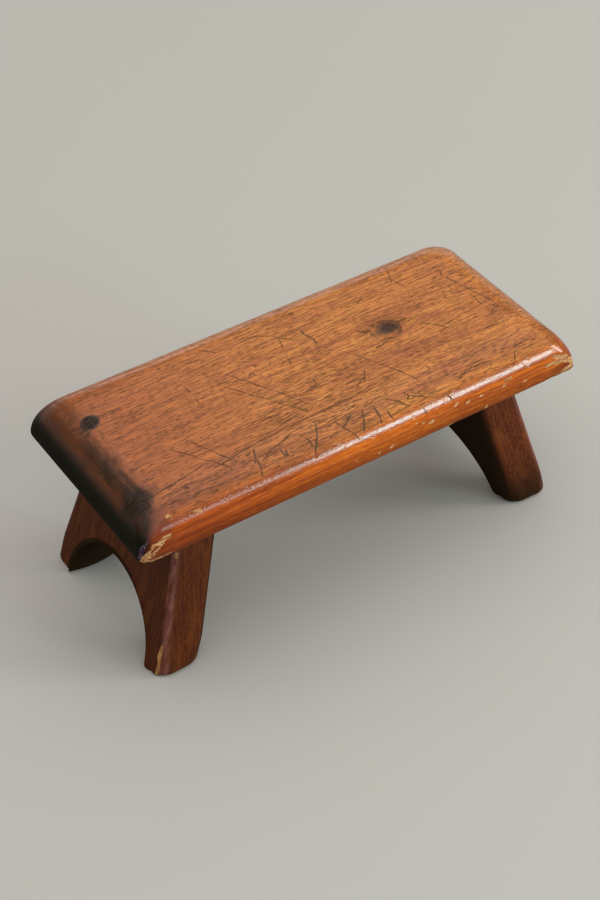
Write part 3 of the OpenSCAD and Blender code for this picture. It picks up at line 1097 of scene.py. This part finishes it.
def roundFeet(grid, shape, side):
    # Towards the floor each foot shrinks to the middle of its own plan, along x and along y
    x, y, z = np.moveaxis(grid, -1, 0)
    splay, flare = math.radians(shape["splay"]), math.radians(shape["flare"])
    half = shape["thickness"] / math.cos(splay) / 2
    middle = cadHigh[0] - shape["inset"] - z * math.tan(splay) - half
    x = middle + (x - middle) * (1 - standBack(z, shape["soleRadius"]) / half)
    way = np.where(y < 0, -1, 1)
    inEdge = np.abs(shape["archShift"][side] + way * shape["archRadius"])
    outEdge = shape["footWidth"] / 2 - z * math.tan(flare) / math.cos(splay)
    toe = np.where(y < 0, shape["frontToe"], shape["backToe"])
    half = np.maximum((outEdge - inEdge) / 2, toe)
    middle = way * (inEdge + outEdge) / 2
    y = middle + (y - middle) * (1 - standBack(z, toe) / half)
    return np.stack([x, y, z], axis=-1)


def legArrisSheen(grid, shape, side):
    # A pinkish highlight is painted on the outer front arris: a strip by the face, on the front half of the
    # rows
    share, _, depthShare, depthRadii = legSection(shape["cells"]).T[:4]
    turn = np.arccos(np.clip(1 - depthRadii, 0, 1))
    strip = (depthShare == 0) * (share == 1) * easeStep(turn, *shape["arrisSheenFrom"])
    strip = strip * easeStep(turn, *shape["arrisSheenTo"])
    front = easeStep(-grid[:, 0, 1], 0, shape["arrisSheenFront"])
    return (front[:, None] * strip).reshape(-1) * shape["arrisSheenShare"][side]


def legMesh(shape, side):
    # Worked out for the right board; the left one is its mirror, with its own arch
    grid = roundFeet(legSurface(shape, side), shape, side)
    # Normals from the grid's own steps, used to wear the faces
    loopWay = np.roll(grid, -1, axis=1) - np.roll(grid, 1, axis=1)
    normals = np.cross(loopWay, np.gradient(grid, axis=0))
    normals /= np.maximum(np.linalg.norm(normals, axis=-1, keepdims=True), tiny ** 2)
    index = np.arange(grid[..., 0].size).reshape(grid.shape[:2])
    index = np.concatenate([index, index[:, :1]], axis=1)
    faces = gridFaces(index)[:, ::-1].tolist()
    faces.append(index[0, -2::-1].tolist())
    faces.append(index[-1, :-1].tolist())
    verts, normals = grid.reshape(-1, 3), normals.reshape(-1, 3)
    if side < 0:
        mirror = (-1, 1, 1)
        verts, normals = verts * mirror, normals * mirror
        faces = [face[::-1] for face in faces]
    return verts, normals, faces, legArrisSheen(grid, shape, side)


# Bare places on the leg boards, as on the seat
legSplinters = {
    -1: [
        ((-189, -78, 29), (-196, -80, 2), 2.4, 1), ((-190, -82, 1), (-178, -84, 1), 2.4, 0.8),
        ((-163, -68, 108), (-164, -68, 106), 2.5, 0.6), ((-176, -86, 2), (-160, -87, 1), 1.6, 0.5),
    ],
    1: [
        ((197, -76, 14), (195, -80, 2), 3, 1.2), ((157, -69, 17), (156, -69, 15), 1.6, 0.4),
        ((160, -84, 5), (158, -84, 4), 1.5, 0.4), ((170, -86, 2), (190, -84, 1), 1.8, 0.6),
    ],
}


# As on the seat, but the chips don't thin out; the board's side is added to each seed
legWearing = {
    "waves": (((30, 30, 45), 21), ((12, 12, 18), 23)), "narrowShare": 0.4, "deepest": 0.25,
    "heights": [(1, 12), (137, 125)], "fibre": ((1.6, 1.6, 12), 25), "rough": ((3, 3, 7), 27),
    "chipLeast": 0.75, "chipFibres": 0.35, "ragged": 0.3, "fall": 0.55, "taper": 1, "taperMost": 0,
    "soleHeight": 1,
}


def legWear(verts, normals, side, wear):
    # Each vertex goes in by its depth; the sole stays on the floor
    points = verts / mm
    depth = handWear(points, wear, side)
    depth, bare, _ = chipWood(points, depth, legSplinters[side], wear, side)
    inwards = normals * (depth * mm)[:, None]
    inwards[:, 2] *= easeStep(points[:, 2], 0, wear["soleHeight"])
    return verts - inwards, bare


# Finishes, then the pieces

legBoards = {
    "left": {"side": -1, "seed": 40, "shadeAndDirt": leftShadeAndDirt},
    "right": {"side": 1, "seed": 400, "shadeAndDirt": rightShadeAndDirt},
}

seatWood = seatMaterial(seatLook, seatKnots)
for word, board in legBoards.items():
    board["wood"] = legMaterial("legWood" + word.capitalize(), legLook, board)
dowelWood = dowelMaterial(dowelLook)
print("finishes made")

verts, normals, faces = seatSurface(seatShape)
verts, marks = seatWear(verts, normals, seatWearing, seatPits)
seat = makePiece("seatBoard", verts, faces, seatWood, marks)
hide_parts("seat_board")
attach(seat, "root")
print("seat board:", len(verts), "vertices")

for word, board in legBoards.items():
    verts, normals, faces, arrisSheen = legMesh(legShape, board["side"])
    verts, bare = legWear(verts, normals, board["side"], legWearing)
    marks = {"bareWood": bare, "arrisSheen": arrisSheen}
    leg = makePiece("legBoard" + word.capitalize(), verts, faces, board["wood"], marks)
    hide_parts("leg_board_" + word)
    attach(leg, "root")
    print("leg board", word + ":", len(verts), "vertices")

for name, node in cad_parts.items():
    if name.startswith("dowel"):
        node.data.materials.clear()
        node.data.materials.append(dowelWood)
print("dowels finished")


# Floor, sky and lamps

stage = {
    "floorRadius": 30, "floorSides": 96, "floorColour": (0.47, 0.45, 0.415),
    "floorShade": (0.41, 0.39, 0.355), "floorTone": 0.12, "floorNoise": {"scale": 0.004, "detail": 3},
    "floorRough": 0.9, "skyColour": (0.78, 0.77, 0.75, 1), "lightColour": (1, 0.99, 0.97, 1),
    "awayTilt": (0.5, 0.85),
}
# How the sky's light changes with its direction: start, end, strength before and after
skyFades = {
    "away": (-0.7, 0.5, 0.10, 0.28), "above": (0.3, 0.95, 0, 1.22), "wall": (0.4, 0.9, 0, 0.9),
    "wallTop": (0.1, 0.4, 1, 0),
}
lamps = {
    "window": {"place": (1.585, -2.49, 1.20), "size": (0.75, 0.40), "power": 20, "colour": (0.60, 0.96, 1)},
    "windowSide": {"place": (1, -2.70, 1.20), "size": (0.55, 0.24), "power": 2.8, "colour": (1, 0.98, 0.96)},
    "right": {"place": (3, -1.9, 1.5), "size": (1.2, 1.2), "power": 53, "colour": (1, 0.98, 0.95)},
}


def addFloor(look):
    # A flat disc of one face
    turns = np.linspace(0, 2 * math.pi, look["floorSides"], endpoint=False)
    rim = np.stack([np.cos(turns), np.sin(turns), np.zeros(len(turns))], axis=1)
    g = FinishGraph("floorPaint")
    tone = g.times(g.noise(g.point, **look["floorNoise"]), look["floorTone"])
    colour = g.mix(tone, look["floorColour"], look["floorShade"])
    paint = {"Base Color": colour, "Roughness": look["floorRough"], "Specular IOR Level": 0}
    floor = makePiece("floor", rim * look["floorRadius"], [list(range(len(turns)))], g.finish(paint))


def addSky(look):
    # Pale to the camera; round the object it is bright behind and above, and dim to the left
    world = bpy.data.worlds.new("sky")
    scene.world = world
    world.use_nodes = True
    g = NodeGraph(world.node_tree, skyFades)
    x, y, z = g.split(g.add("TexCoord").outputs["Generated"])
    away = g.timesPlus(x, look["awayTilt"][0], g.times(y, look["awayTilt"][1]))
    away = g.fade(away, "away")
    above = g.fade(z, "above")
    wall = g.times(g.fade(y, "wall"), g.fade(z, "wallTop"))
    level = g.plus(g.plus(away, above), wall)
    lit = g.add("Background", {"Color": look["lightColour"], "Strength": level})
    plain = g.add("Background", {"Color": look["skyColour"], "Strength": 1})
    toCamera = g.add("LightPath").outputs["Is Camera Ray"]
    both = g.add("MixShader", {0: toCamera, 1: lit.outputs[0], 2: plain.outputs[0]})
    g.add("OutputWorld", {"Surface": both.outputs[0]})


def addLamp(name, lamp):
    data = bpy.data.lights.new(name, "AREA")
    data.shape = "RECTANGLE"
    data.size, data.size_y = lamp["size"]
    data.energy = lamp["power"]
    data.color = lamp["colour"]
    light = bpy.data.objects.new(name, data)
    light.location = lamp["place"]
    light.rotation_mode = "QUATERNION"
    light.rotation_quaternion = light.location.to_track_quat("Z", "Y")
    light.visible_camera = False
    scene.collection.objects.link(light)


addFloor(stage)
addSky(stage)
for name, lamp in lamps.items():
    addLamp(name, lamp)
print("stage set")
